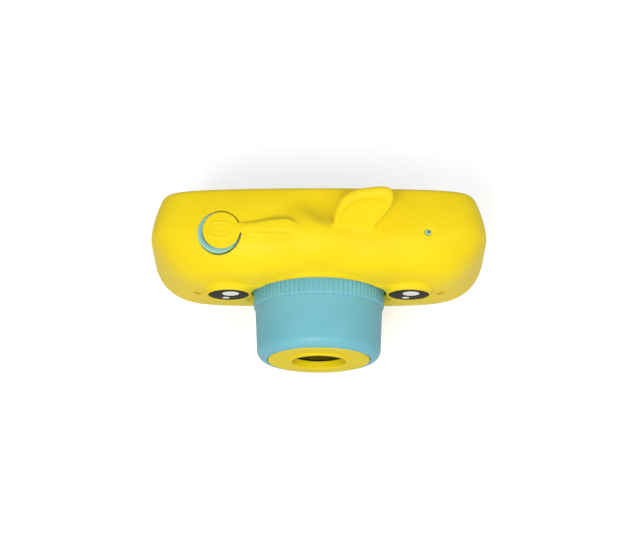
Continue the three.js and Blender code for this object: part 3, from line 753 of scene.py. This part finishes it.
def blue_plastic_painted_bounce():
    """The same blue plastic, paler and greener: painted reflected light from the yellow silicone around it.
    """
    look = Look("blue_plastic_painted_bounce", 0.45, specular_ior_level=0.4)
    look.colour(look.clouded(6, 2, (150, 204, 190), (158, 210, 194)))
    look.roughness(look.noise(2, 3), 0.4, 0.52)
    look.bump((look.cells(0.28), 0.006), (look.noise(0.12, 2), 0.004))
    return look.material


def yellow_plastic():
    look = Look("yellow_plastic", 0.4, specular_ior_level=0.1)
    base = look.clouded(8, 2, (232, 206, 10), (237, 212, 18))
    look.colour(look.pale_edges(base, (250, 234, 110), 0.1))
    look.roughness(look.noise(1.5, 3), 0.36, 0.5)
    look.bump((look.noise(0.5, 2), 0.004), (look.cells(0.2), 0.003))
    return look.material


def black_gloss():
    look = Look("black_gloss", 0.2, ior=1.06)
    look.colour(look.mix(look.noise(4, 2), (42, 38, 33), (52, 47, 41)))
    scratches = look.noise(0.5, 4, stretch=(6, 1, 1))
    look.roughness(look.ramp(scratches, (0.5, 0), (0.8, 1)), 0.08, 0.2)
    look.bump((look.noise(3, 1), 0.01))
    return look.material


def glint_print():
    """The off-white dots printed on the eyes."""
    look = Look("glint_print", 0.3)
    look.colour(look.mix(look.noise(0.6, 3), (232, 230, 224), (246, 245, 240)))
    look.roughness(look.noise(0.8, 2), 0.22, 0.36)
    look.bump((look.noise(0.25, 2), 0.004))
    return look.material


def clear_panel(name="clear_panel", ior=1.45):
    look = Look(name, 0.03, ior=ior, transmission_weight=1.0)
    look.colour(look.mix(look.noise(6, 2), (150, 156, 160), (162, 168, 172)))
    look.roughness(look.ramp(look.noise(0.8, 4), (0.55, 0), (0.8, 1)), 0.02, 0.09)
    look.bump((look.noise(6, 1), 0.008))
    return look.material


def lens_glass():
    """A coated lens: a faint violet-green film that shows at grazing angles."""
    look = Look("lens_glass", 0.02, ior=1.6, transmission_weight=0.9, coat_weight=0.6)
    facing = look.node("ShaderNodeLayerWeight").outputs["Facing"]
    violet, green, pale = (120, 110, 190), (90, 150, 160), (190, 170, 220)
    film = look.ramp(facing, (0, violet), (0.5, green), (1, pale))
    look.colour(look.mix(look.ramp(look.noise(3, 2), (0, 0), (1, 0.2)), film, (110, 130, 170)))
    look.roughness(look.noise(1, 3), 0.01, 0.05)
    look.bump((look.noise(3, 1), 0.003))
    return look.material


def black_plastic():
    look = Look("black_plastic", 0.5)
    base = look.mix(look.noise(3, 3), (26, 26, 28), (38, 38, 40))
    look.colour(look.pale_edges(base, (70, 70, 74), 0.5))
    look.roughness(look.noise(1, 3), 0.4, 0.6)
    look.bump((look.cells(0.15), 0.008))
    return look.material


def green_board():
    """Solder mask over copper tracks, with pale pads."""
    look = Look("green_board", 0.4)
    tracks = look.node("ShaderNodeTexBrick", {
        "Scale": 1 / (2.2 * MM), "Mortar Size": 0.09, "Mortar": linear(60, 142, 84),
        "Color1": linear(22, 96, 58), "Color2": linear(26, 104, 62),
    }, offset=0.35)
    turn = look.node("ShaderNodeMapping", {"Rotation": (math.pi / 2, 0, 0)})
    look.link(look.place, turn.inputs["Vector"])
    look.link(turn.outputs["Vector"], tracks.inputs["Vector"])
    pads = look.ramp(look.cells(2.6), (0.1, 1), (0.16, 0))
    look.colour(look.mix(pads, tracks.outputs["Color"], (206, 202, 176)))
    look.roughness(look.noise(2, 3), 0.3, 0.5)
    look.bump((tracks.outputs["Fac"], 0.02), (look.noise(0.3, 2), 0.004))
    return look.material


def amber_film():
    """A flexible cable with its copper lines showing through."""
    look = Look("amber_film", 0.3, specular_ior_level=0.6)
    lines = look.node("ShaderNodeTexWave", {"Scale": 1 / (1.6 * MM)}, bands_direction="X")
    look.link(look.place, lines.inputs["Vector"])
    copper = look.ramp(lines.outputs["Fac"], (0.45, 0), (0.55, 1))
    look.colour(look.mix(copper, (150, 88, 26), (190, 126, 54)))
    look.roughness(look.noise(1, 3), 0.24, 0.4)
    look.bump((lines.outputs["Fac"], 0.02))
    return look.material


def steel():
    look = Look("steel", 0.3, metallic=1.0)
    brushed = look.noise(0.25, 4, stretch=(1, 1, 0.12))
    base = look.mix(brushed, (158, 160, 164), (186, 188, 192))
    look.colour(look.pale_edges(base, (222, 223, 226), 0.6))
    look.roughness(brushed, 0.22, 0.42)
    look.bump((brushed, 0.006))
    return look.material


def foil():
    """The crimped foil of a cell or a metal case."""
    look = Look("foil", 0.35, metallic=0.85)
    creases = look.cells(3.5, "DISTANCE_TO_EDGE")
    look.colour(look.mix(look.ramp(creases, (0, 1), (0.15, 0)), (190, 192, 196), (214, 215, 218)))
    look.roughness(look.noise(1, 4), 0.26, 0.48)
    look.bump((look.noise(4, 3), 0.08), (look.noise(0.4, 3), 0.01))
    return look.material


def screen_panel():
    """A display that is switched off: a dark area whose cell grid just shows."""
    look = Look("screen_panel", 0.16, specular_ior_level=0.6)
    grid = look.node("ShaderNodeTexChecker", {
        "Scale": 1 / (0.3 * MM), "Color1": linear(24, 27, 32), "Color2": linear(29, 32, 38),
    })
    look.link(look.place, grid.inputs["Vector"])
    # Painted sheen: bluish patches drift over the dark panel.
    painted_blue_sheen = look.ramp(look.noise(18, 2), (0.3, 0), (0.7, 0.4))
    look.colour(look.mix(painted_blue_sheen, grid.outputs["Color"], (36, 42, 54)))
    look.roughness(look.noise(6, 2), 0.12, 0.22)
    look.bump((look.noise(9, 1), 0.01))
    return look.material


def green_light():
    look = Look("green_light", 0.25, transmission_weight=0.35, subsurface_weight=0.2)
    look.colour(look.mix(look.noise(0.7, 2), (138, 214, 120), (160, 230, 142)))
    look.roughness(look.noise(0.5, 2), 0.2, 0.34)
    look.bump((look.noise(0.3, 2), 0.006))
    return look.material


def pale_floor():
    """A pale backdrop. It looks a little brighter to the camera than the light that it throws back."""
    look = Look("pale_floor", 0.75, specular_ior_level=0.2)
    look.colour(look.mix(look.noise(60, 3), (206, 206, 206), (212, 212, 212)))
    look.shader.inputs["Emission Color"].default_value = linear(255, 255, 255)
    seen = look.node("ShaderNodeMath", {1: 0.55}, operation="MULTIPLY")
    look.link(look.node("ShaderNodeLightPath").outputs["Is Camera Ray"], seen.inputs[0])
    look.link(seen.outputs["Value"], look.shader.inputs["Emission Strength"])
    look.roughness(look.noise(30, 3), 0.7, 0.8)
    look.bump((look.noise(2, 3), 0.01))
    return look.material


# ---- assembly

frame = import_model()

LOOKS = {
    make.__name__: make()
    for make in (
        yellow_silicone, blue_plastic, yellow_plastic, black_gloss, clear_panel, lens_glass, black_plastic,
        green_board, amber_film, steel, foil, screen_panel, green_light, glint_print, blue_plastic_painted_bounce,
        painted_dimple_shade,
    )
}
LOOKS["coated_window"] = clear_panel("coated_window", 1.08)
SLOTS = {part["node"]: part["material_slot"] for part in frame["record"]["subparts"]}
CAMERA = "camera_body"


def put(piece, slot, *nodes, body=CAMERA, look=None):
    """Gives a piece its look and its body, and hides the CAD nodes that it stands for."""
    piece.data.materials.clear()
    piece.data.materials.append(look or LOOKS[slot])
    if body:
        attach(piece, body)
    if nodes:
        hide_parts(*nodes)
    return piece


def finish_cad_nodes():
    """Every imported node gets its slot's look, and its edges are bevelled where it stays in sight."""
    for name, node in frame["nodes"].items():
        node.data.materials.clear()
        node.data.materials.append(LOOKS[SLOTS[name]])
        if node.hide_render:
            continue
        weld = node.modifiers.new("weld", "WELD")
        weld.merge_threshold = 0.002 * MM
        bevel = node.modifiers.new("bevel", "BEVEL")
        bevel.width = 0.12 * MM
        bevel.segments = 2
        bevel.limit_method = "ANGLE"
        bevel.angle_limit = math.radians(40)


# Outside, soft
def soft_parts():
    fine = 1
    put(silicone_cover(0.5 * fine), "yellow_silicone", "silicone_cover")
    flap = soft_piece("shutter_flap_soft", flap_field, (-34.6, -9.4, 59.8), (-20.2, 2.8, 62.4), 0.16 * fine)
    put(flap, "yellow_silicone", "shutter_flap", body=None)
    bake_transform(flap)
    lid = soft_piece("port_cover_soft", port_cover_field, (3.4, -3.6, 0), (29.6, 3, 3.8), 0.25 * fine)
    put(lid, "yellow_silicone", "port_cover", body="port_cover")


def cheek_shade_patch(side, name):
    """A thin patch that follows the cover's front corner, darker with painted shade that stands in for a
    dimple.
    """
    centre_x, centre_z = side * CHEEK_SHADE_PATCH[0], CHEEK_SHADE_PATCH[1]

    def field(x, y, z):
        outline = np.sqrt(((x - centre_x) / 1.3) ** 2 + ((z - centre_z) / 0.9) ** 2) - 1
        return smooth_meet(np.abs(body_field(COVER, x, y, z)) - 0.14, outline * 0.9, 0.2)

    low, high = (centre_x - 1.8, -17, centre_z - 1.4), (centre_x + 1.8, -14, centre_z + 1.4)
    mark = soft_piece(f"cheek_shade_patch_{name}", field, low, high, 0.12)
    # Its deeper yellow is painted shade that stands in for a dimple.
    put(mark, "yellow_silicone", look=LOOKS["painted_dimple_shade"])


def eye(side, name):
    centre = (side * EYE_X, 0, EYE_Z)
    cheek_shade_patch(side, name)
    socket = [(6.12, -17.3, 0.12), (6.62, -17.3, 0.25), (6.72, -14.5, 0.1), (6.12, -14.5, 0.1)]
    put(turned(f"eye_{name}_socket_rim", socket, centre), "yellow_silicone")
    rim = [(EYE_R, EYE_RIM_Y + 0.3, 0.25), (EYE_R, -16.4, 0.1), (0, -16.4, 0)]
    disc = turned(f"eye_{name}_disc", dome(EYE_DOME_R, EYE_RIM_Y, EYE_RISE) + rim, centre)
    put(disc, "black_gloss", f"eye_{name}")
    for size, (across, up, radius) in dict(large=(0.6, 1.9, 2.5), small=(-0.9, -2.8, 1.1)).items():
        glint = printed_dot(f"eye_{name}_glint_{size}", centre, across, up, radius)
        put(glint, "black_gloss", look=LOOKS["glint_print"])


def printed_dot(name, centre, across, up, radius, rings=8, steps=48):
    """A thin round print that follows the dome of an eye."""
    rows = []
    for side, lift in ((1, 0.05), (0, -0.08)):
        for k in range(rings + 1):
            share = (k if side else rings - k) / rings
            angle = full_turn(steps)
            u = across + radius * share * np.cos(angle)
            v = up + 0.88 * radius * share * np.sin(angle)
            ball = (EYE_DOME_R ** 2 + EYE_RISE ** 2) / (2 * EYE_RISE)
            y = EYE_RIM_Y - EYE_RISE + ball - np.sqrt(ball ** 2 - u ** 2 - v ** 2)
            edge = 0.03 * share ** 6 if side else 0
            rows.append(np.stack([centre[0] + u, y - lift + edge, centre[2] + v], axis=1))
    points = np.concatenate(rows)
    count = len(rows)
    a = np.arange(count - 1)[:, None] * steps + np.arange(steps)
    b = np.arange(count - 1)[:, None] * steps + (np.arange(steps) + 1) % steps
    piece = mesh_piece(name, points, np.stack([a, b, b + steps, a + steps], axis=-1).reshape(-1, 4))
    tidy(piece)
    return piece


# Lens
LENS_CENTRE = (0, 0, LENS_Z)


def lens_barrel():
    put(turned("lens_barrel_body", [
        (18.25, -13.3, 0.3), (18.25, -19.42, 0.05), (19, -19.42, 0.05), (18.35, -35, 3), (15.4, -35, 0.15),
        (15.4, -33.35, 0.1), (13, -33.35, 0.2), (13, -31.6, 0.2), (15.7, -30, 0.3), (15.7, -24.8, 0.1),
        (16.4, -24.8, 0.1), (16.4, -17.2, 0.3), (13.5, -16.2, 0.3), (13.5, -13.3, 0.2),
    ], LENS_CENTRE, steps=256), "blue_plastic", "lens_barrel")


def knurled_ring():
    def ribs(angle, radius):
        groove = (0.5 + 0.5 * np.cos(RIBS * angle)) ** 2
        return RIB_DEPTH * groove * (radius > RING_R - 0.25)

    put(turned("knurled_ring_band", [
        (18.45, -13.35, 0.1), (RING_R, -13.35, 0.1), (RING_R, -18.8, 0.15), (RING_R - 0.4, -19.4, 0.15),
        (18.45, -19.4, 0.1),
    ], LENS_CENTRE, steps=RIBS * 16, ripple=ribs), "blue_plastic", "knurled_ring")


def lens_front():
    """The yellow ring with its raised lip, the dark window and the black ring behind it."""
    put(turned("lens_bezel_ring", [
        (15.2, -33.4, 0.1), (15.2, -35.2, 0.3), (10, -35.2, 0.5), (9.4, -35.7, 0.4), (8.1, -35.7, 0.3),
        (7.8, -33.4, 0.1),
    ], LENS_CENTRE, steps=256), "yellow_plastic", "lens_bezel")
    put(turned("lens_window_disc", [
        (0, -33.25, 0), (12.8, -33.25, 0.15), (12.8, -32.05, 0.15), (0, -32.05, 0),
    ], LENS_CENTRE), "clear_panel", "lens_window", look=LOOKS["coated_window"])
    put(turned("lens_baffle", [
        (12.9, -31.9, 0.1), (12.9, -31.4, 0.1), (6.2, -31.4, 0.1), (6.2, -31.9, 0.1),
    ], LENS_CENTRE), "black_plastic")


def lens_module():
    """The lens element in its holder, with the holder's square foot on the sensor board."""
    put(turned("lens_holder_tube", [
        (7.5, -25.2, 0.1), (7.5, -27.5, 0.3), (6, -28, 0.2), (6, -31, 0.3), (5.3, -31, 0.1),
        (5.3, -30.4, 0.1), (4.3, -30.1, 0.1), (4.3, -25.2, 0.1),
    ], LENS_CENTRE), "black_plastic", "lens_holder")
    foot = plate("lens_holder_foot", [
        rounded_rectangle(-8, 8, LENS_Z - 8, LENS_Z + 8, 1), circle(0, LENS_Z, 4.3),
    ], -25.2, -24.7, 0.08)
    put(foot, "black_plastic")
    element = dome(4.1, -29.8, 1.1) + [(4.1, -28.6, 0.1), (0, -28.6, 0)]
    put(turned("lens_element_front", element, LENS_CENTRE), "lens_glass", "lens_element")


# Back
def superellipse(half_width, middle, half_height, power=7, steps=160):
    angle = full_turn(steps)
    cos, sin = np.cos(angle), np.sin(angle)
    share = 2 / power
    return np.stack([half_width * np.sign(cos) * np.abs(cos) ** share,
                     middle + half_height * np.sign(sin) * np.abs(sin) ** share], axis=1)


# x, z and radius of each key
KEYS = dict(
    up=(-24, 40, 3.5), down=(-24, 22, 3.5), left=(-15, 31, 3.5), right=(-33, 31, 3.5), ok=(-24, 31, 3.5),
    power=(-24, 49.3, 2.6), mode=(-28.5, 12.8, 3), play=(-18.5, 12.8, 3),
)
STATUS_LIGHT = (-14, 49.3)
SHELL_SCREWS = [(x, z) for x in (-36.5, 36.5) for z in (13, 48.5)]
SCREEN = (12, 31, 42.6, 34.4)    # x and z of its middle, width and height


def around_screen(grow_x, grow_z, corner):
    """The screen's outline, larger by these amounts at its sides and at its top and bottom."""
    x, z, width, height = SCREEN
    across, up = width / 2 + grow_x, height / 2 + grow_z
    return rounded_rectangle(x - across, x + across, z - up, z + up, corner)


def rear_shell():
    holes = [circle(x, z, radius + 0.25) for x, z, radius in KEYS.values()]
    holes += [circle(*STATUS_LIGHT, 1.15, 32)] + [circle(x, z, 2.2, 48) for x, z in SHELL_SCREWS]
    outlines = [superellipse(42.2, 30.2, 24.4), around_screen(0.2, 0.2, 1.6), *holes]
    put(plate("rear_shell_back", outlines, 7.4, 9.2, 0.12), "blue_plastic", "rear_shell")
    step = 0.7
    tray = soft_piece("rear_shell_tray", rear_tray_field, (-48, 2.6, 2), (48, 8.6, 60), step)
    put(tray, "blue_plastic")


def screen():
    border = [around_screen(0.5, 0.5, 1.6), around_screen(-2.2, -2.4, 0.6)]
    put(plate("screen_border", border, 7.45, 8.1, 0.05), "black_plastic")
    window = around_screen(0, 0, 1.4)
    put(plate("screen_window_panel", [window], 8.15, 9.15, 0.18), "clear_panel", "screen_window")


def status_light():
    profile = [(0, 5.6, 0), (1, 5.6, 0.1), (1, 9.15, 0.4), (0, 9.3, 0)]
    pipe = turned("status_light_pipe", profile, (STATUS_LIGHT[0], 0, STATUS_LIGHT[1]), steps=48)
    put(pipe, "green_light", "status_light")


def lanyard_pin():
    profile = [(0, 13.5, 0), (0.75, 13.5, 0.2), (0.75, 22.5, 0.2), (0, 22.5, 0)]
    put(turned("lanyard_pin_rod", profile, (-43.2, 6, 0), axis="z", steps=48), "steel", "lanyard_pin")


def arrow(turn):
    """A rounded triangle that points up, turned by this many degrees."""
    angle = math.radians(turn)
    reach = 1.35
    corners = []
    for point in (math.pi / 2, 7 * math.pi / 6, -math.pi / 6):
        corners.append((math.cos(angle + point) * reach, math.sin(angle + point) * reach))
    return [rounded_polygon(corners, 0.2)]


def ring_mark(outer, inner, opening=0.0):
    """A ring, with a gap of this many radians at the top if it isn't closed."""
    if not opening:
        return [circle(0, 0, outer, 48), circle(0, 0, inner, 48)]
    angle = np.linspace(math.pi / 2 + opening / 2, 5 * math.pi / 2 - opening / 2, 40)
    spokes = np.stack([np.cos(angle), np.sin(angle)], axis=1)
    return [np.concatenate([spokes * outer, spokes[::-1] * inner])]


KEY_MARKS = dict(
    up=[arrow(0)], down=[arrow(180)], left=[arrow(-90)], right=[arrow(90)], play=[arrow(90)],
    ok=[ring_mark(1.3, 0.8)],
    power=[ring_mark(1.2, 0.85, 1.3), [rounded_rectangle(-0.17, 0.17, 0.3, 1.5, 0.15)]],
    mode=[[rounded_rectangle(-1.5, 1.5, -1.05, 1.05, 0.4), circle(0, 0, 0.7, 40)], [circle(0, 0, 0.35, 32)]],
)


def key(name):
    x, z, radius = KEYS[name]
    cap = turned(f"{name}_key_cap", [
        (0, 6.2, 0), (radius + 0.6, 6.2, 0.1), (radius + 0.6, 7.1, 0.1), (radius, 7.1, 0.1),
        (radius, 10.4, 0.5), (radius * 0.7, 10.28, 0.4), (0, 10.2, 0),
    ], (x, 0, z), steps=96)
    put(cap, "yellow_plastic", f"{name}_key", body=f"{name}_key")
    for number, outlines in enumerate(KEY_MARKS[name]):
        outlines = [outline + np.array((x, z)) for outline in outlines]
        mark = plate(f"{name}_key_mark_{number}", outlines, 10.1, 10.32, 0.04)
        put(mark, "blue_plastic", body=f"{name}_key")


def screws():
    def field(x, y, z):
        return screw_field(11, x, y, z)

    step = 0.18
    first = soft_piece("shell_screw_fine", field, (-2.2, -12.4, -2.2), (2.2, 0.3, 2.2), step)
    for number, (x, z) in enumerate(SHELL_SCREWS, start=1):
        screw = add(f"shell_screw_{number}_fine", first.data.copy())
        screw.data.transform(Matrix.Translation((x * MM, 8.75 * MM, z * MM)))
        put(screw, "steel", f"shell_screw_{number}")
    bpy.data.objects.remove(first)


def shutter():
    centre = (*SHUTTER_CENTRE, 0)
    # The collar's paler, greener blue is painted reflected light from the yellow silicone around it.
    put(turned("shutter_collar", [
        (4.85, 57.2, 0.1), (6.32, 57.2, 0.1), (6.32, COLLAR_TOP + 0.05, 0.15), (5.5, COLLAR_TOP + 0.05, 0.2),
        (5.5, COLLAR_TOP - 0.8, 0.1), (4.85, COLLAR_TOP - 0.8, 0.1),
    ], centre, axis="z"), "blue_plastic", look=LOOKS["blue_plastic_painted_bounce"])
    put(turned("shutter_button_cap", [
        (0, 54.95, 0), (5.35, 54.95, 0.2), (5.35, 56, 0.2), (4.6, 56, 0.1), (4.6, 59, 0.5), (0, 59, 0),
    ], centre, axis="z"), "blue_plastic", "shutter_button", body="shutter_button")
    put(turned("shutter_button_nub", [(0, 58.9, 0), (2.5, 58.9, 0.05), (2.5, 60.15, 0.3), (0, 60.15, 0)],
               (FLAP_CENTRE[0], SHUTTER_CENTRE[1], 0), axis="z"), "blue_plastic", body="shutter_button")


def mic_port():
    """What shows through the cover's hole: the shell's top in a paler blue, painted light thrown back from
    the yellow silicone, and a black ring of painted shade that stands in for the microphone's own small hole.
    """
    x, y, radius = MIC
    put(turned("mic_seat", [(0, 56, 0), (radius - 0.05, 56, 0.1), (radius - 0.05, 59.2, 0.1), (0, 59.2, 0)],
               (x, y, 0), axis="z", steps=48), "blue_plastic", look=LOOKS["blue_plastic_painted_bounce"])
    # A thin black ring: painted shade for the microphone's small hole, set off-centre where the hole's wall
    # would shade it.
    put(turned("mic_hole_shade_ring", [(0.1, 59.1, 0), (0.38, 59.1, 0.05), (0.38, 59.3, 0.05), (0.1, 59.25, 0)],
               (x + 0.25, y + 0.25, 0), axis="z", steps=32), "black_plastic")


def usb_tongue():
    tongue = plate("usb_tongue", [rounded_rectangle(7.7, 11.9, 5.3, 9.9, 0.4)], -0.75, -0.3, 0.05)
    put(tongue, "black_plastic")
    for number in range(5):
        x = 8.3 + 0.75 * number
        outline = rounded_rectangle(x, x + 0.35, 5.5, 8.8, 0.1)
        put(plate(f"usb_contact_{number + 1}", [outline], -0.32, -0.26, 0.02), "steel")


# ---- stage, lights and camera

VIEW_TARGET = Vector((0.35, -6.2, 30)) * MM
VIEW_ELEVATION = math.radians(74.4)
VIEW_DISTANCE = 900 * MM
FOCAL_LENGTH = 167.6


def floor():
    half = 1.5
    mesh = bpy.data.meshes.new("floor")
    corners = [(-half, -half, 0), (half, -half, 0), (half, half, 0), (-half, half, 0)]
    mesh.from_pydata(corners, [], [(0, 1, 2, 3)])
    mesh.materials.append(pale_floor())
    add("floor", mesh)


def soft_light(name, position, size, power):
    """A round soft light that points at the camera's middle."""
    light = bpy.data.lights.new(name, "AREA")
    light.shape = "DISK"
    light.size = size
    light.energy = power
    lamp = add(name, light)
    lamp.location = position
    lamp.rotation_euler = (Vector((0, 0, 0.03)) - Vector(position)).to_track_quat("-Z", "Y").to_euler()


def studio():
    floor()
    soft_light("key_light", (-0.22, -0.55, 0.95), 0.5, 6.4)
    soft_light("fill_light", (0.5, -0.35, 0.9), 0.7, 2.4)
    soft_light("back_light", (0, 0.8, 0.7), 0.7, 0.3)
    world = bpy.data.worlds.new("studio")
    world.use_nodes = True
    world.node_tree.nodes["Background"].inputs["Color"].default_value = (1, 1, 1, 1)
    world.node_tree.nodes["Background"].inputs["Strength"].default_value = 0.48
    bpy.context.scene.world = world
    bpy.context.scene.view_settings.view_transform = "Standard"


def camera():
    lens_data = bpy.data.cameras.new("camera")
    lens_data.lens = FOCAL_LENGTH
    lens_data.clip_end = 10
    view = add("camera", lens_data)
    away = Vector((0, -math.cos(VIEW_ELEVATION), math.sin(VIEW_ELEVATION)))
    view.location = VIEW_TARGET + VIEW_DISTANCE * away
    view.rotation_euler = (-away).to_track_quat("-Z", "Y").to_euler()
    bpy.context.scene.camera = view


soft_parts()
eye(-1, "left")
eye(1, "right")
lens_barrel()
knurled_ring()
lens_front()
lens_module()
rear_shell()
screen()
status_light()
lanyard_pin()
for key_name in KEYS:
    key(key_name)
screws()
shutter()
usb_tongue()
mic_port()
finish_cad_nodes()
studio()
camera()
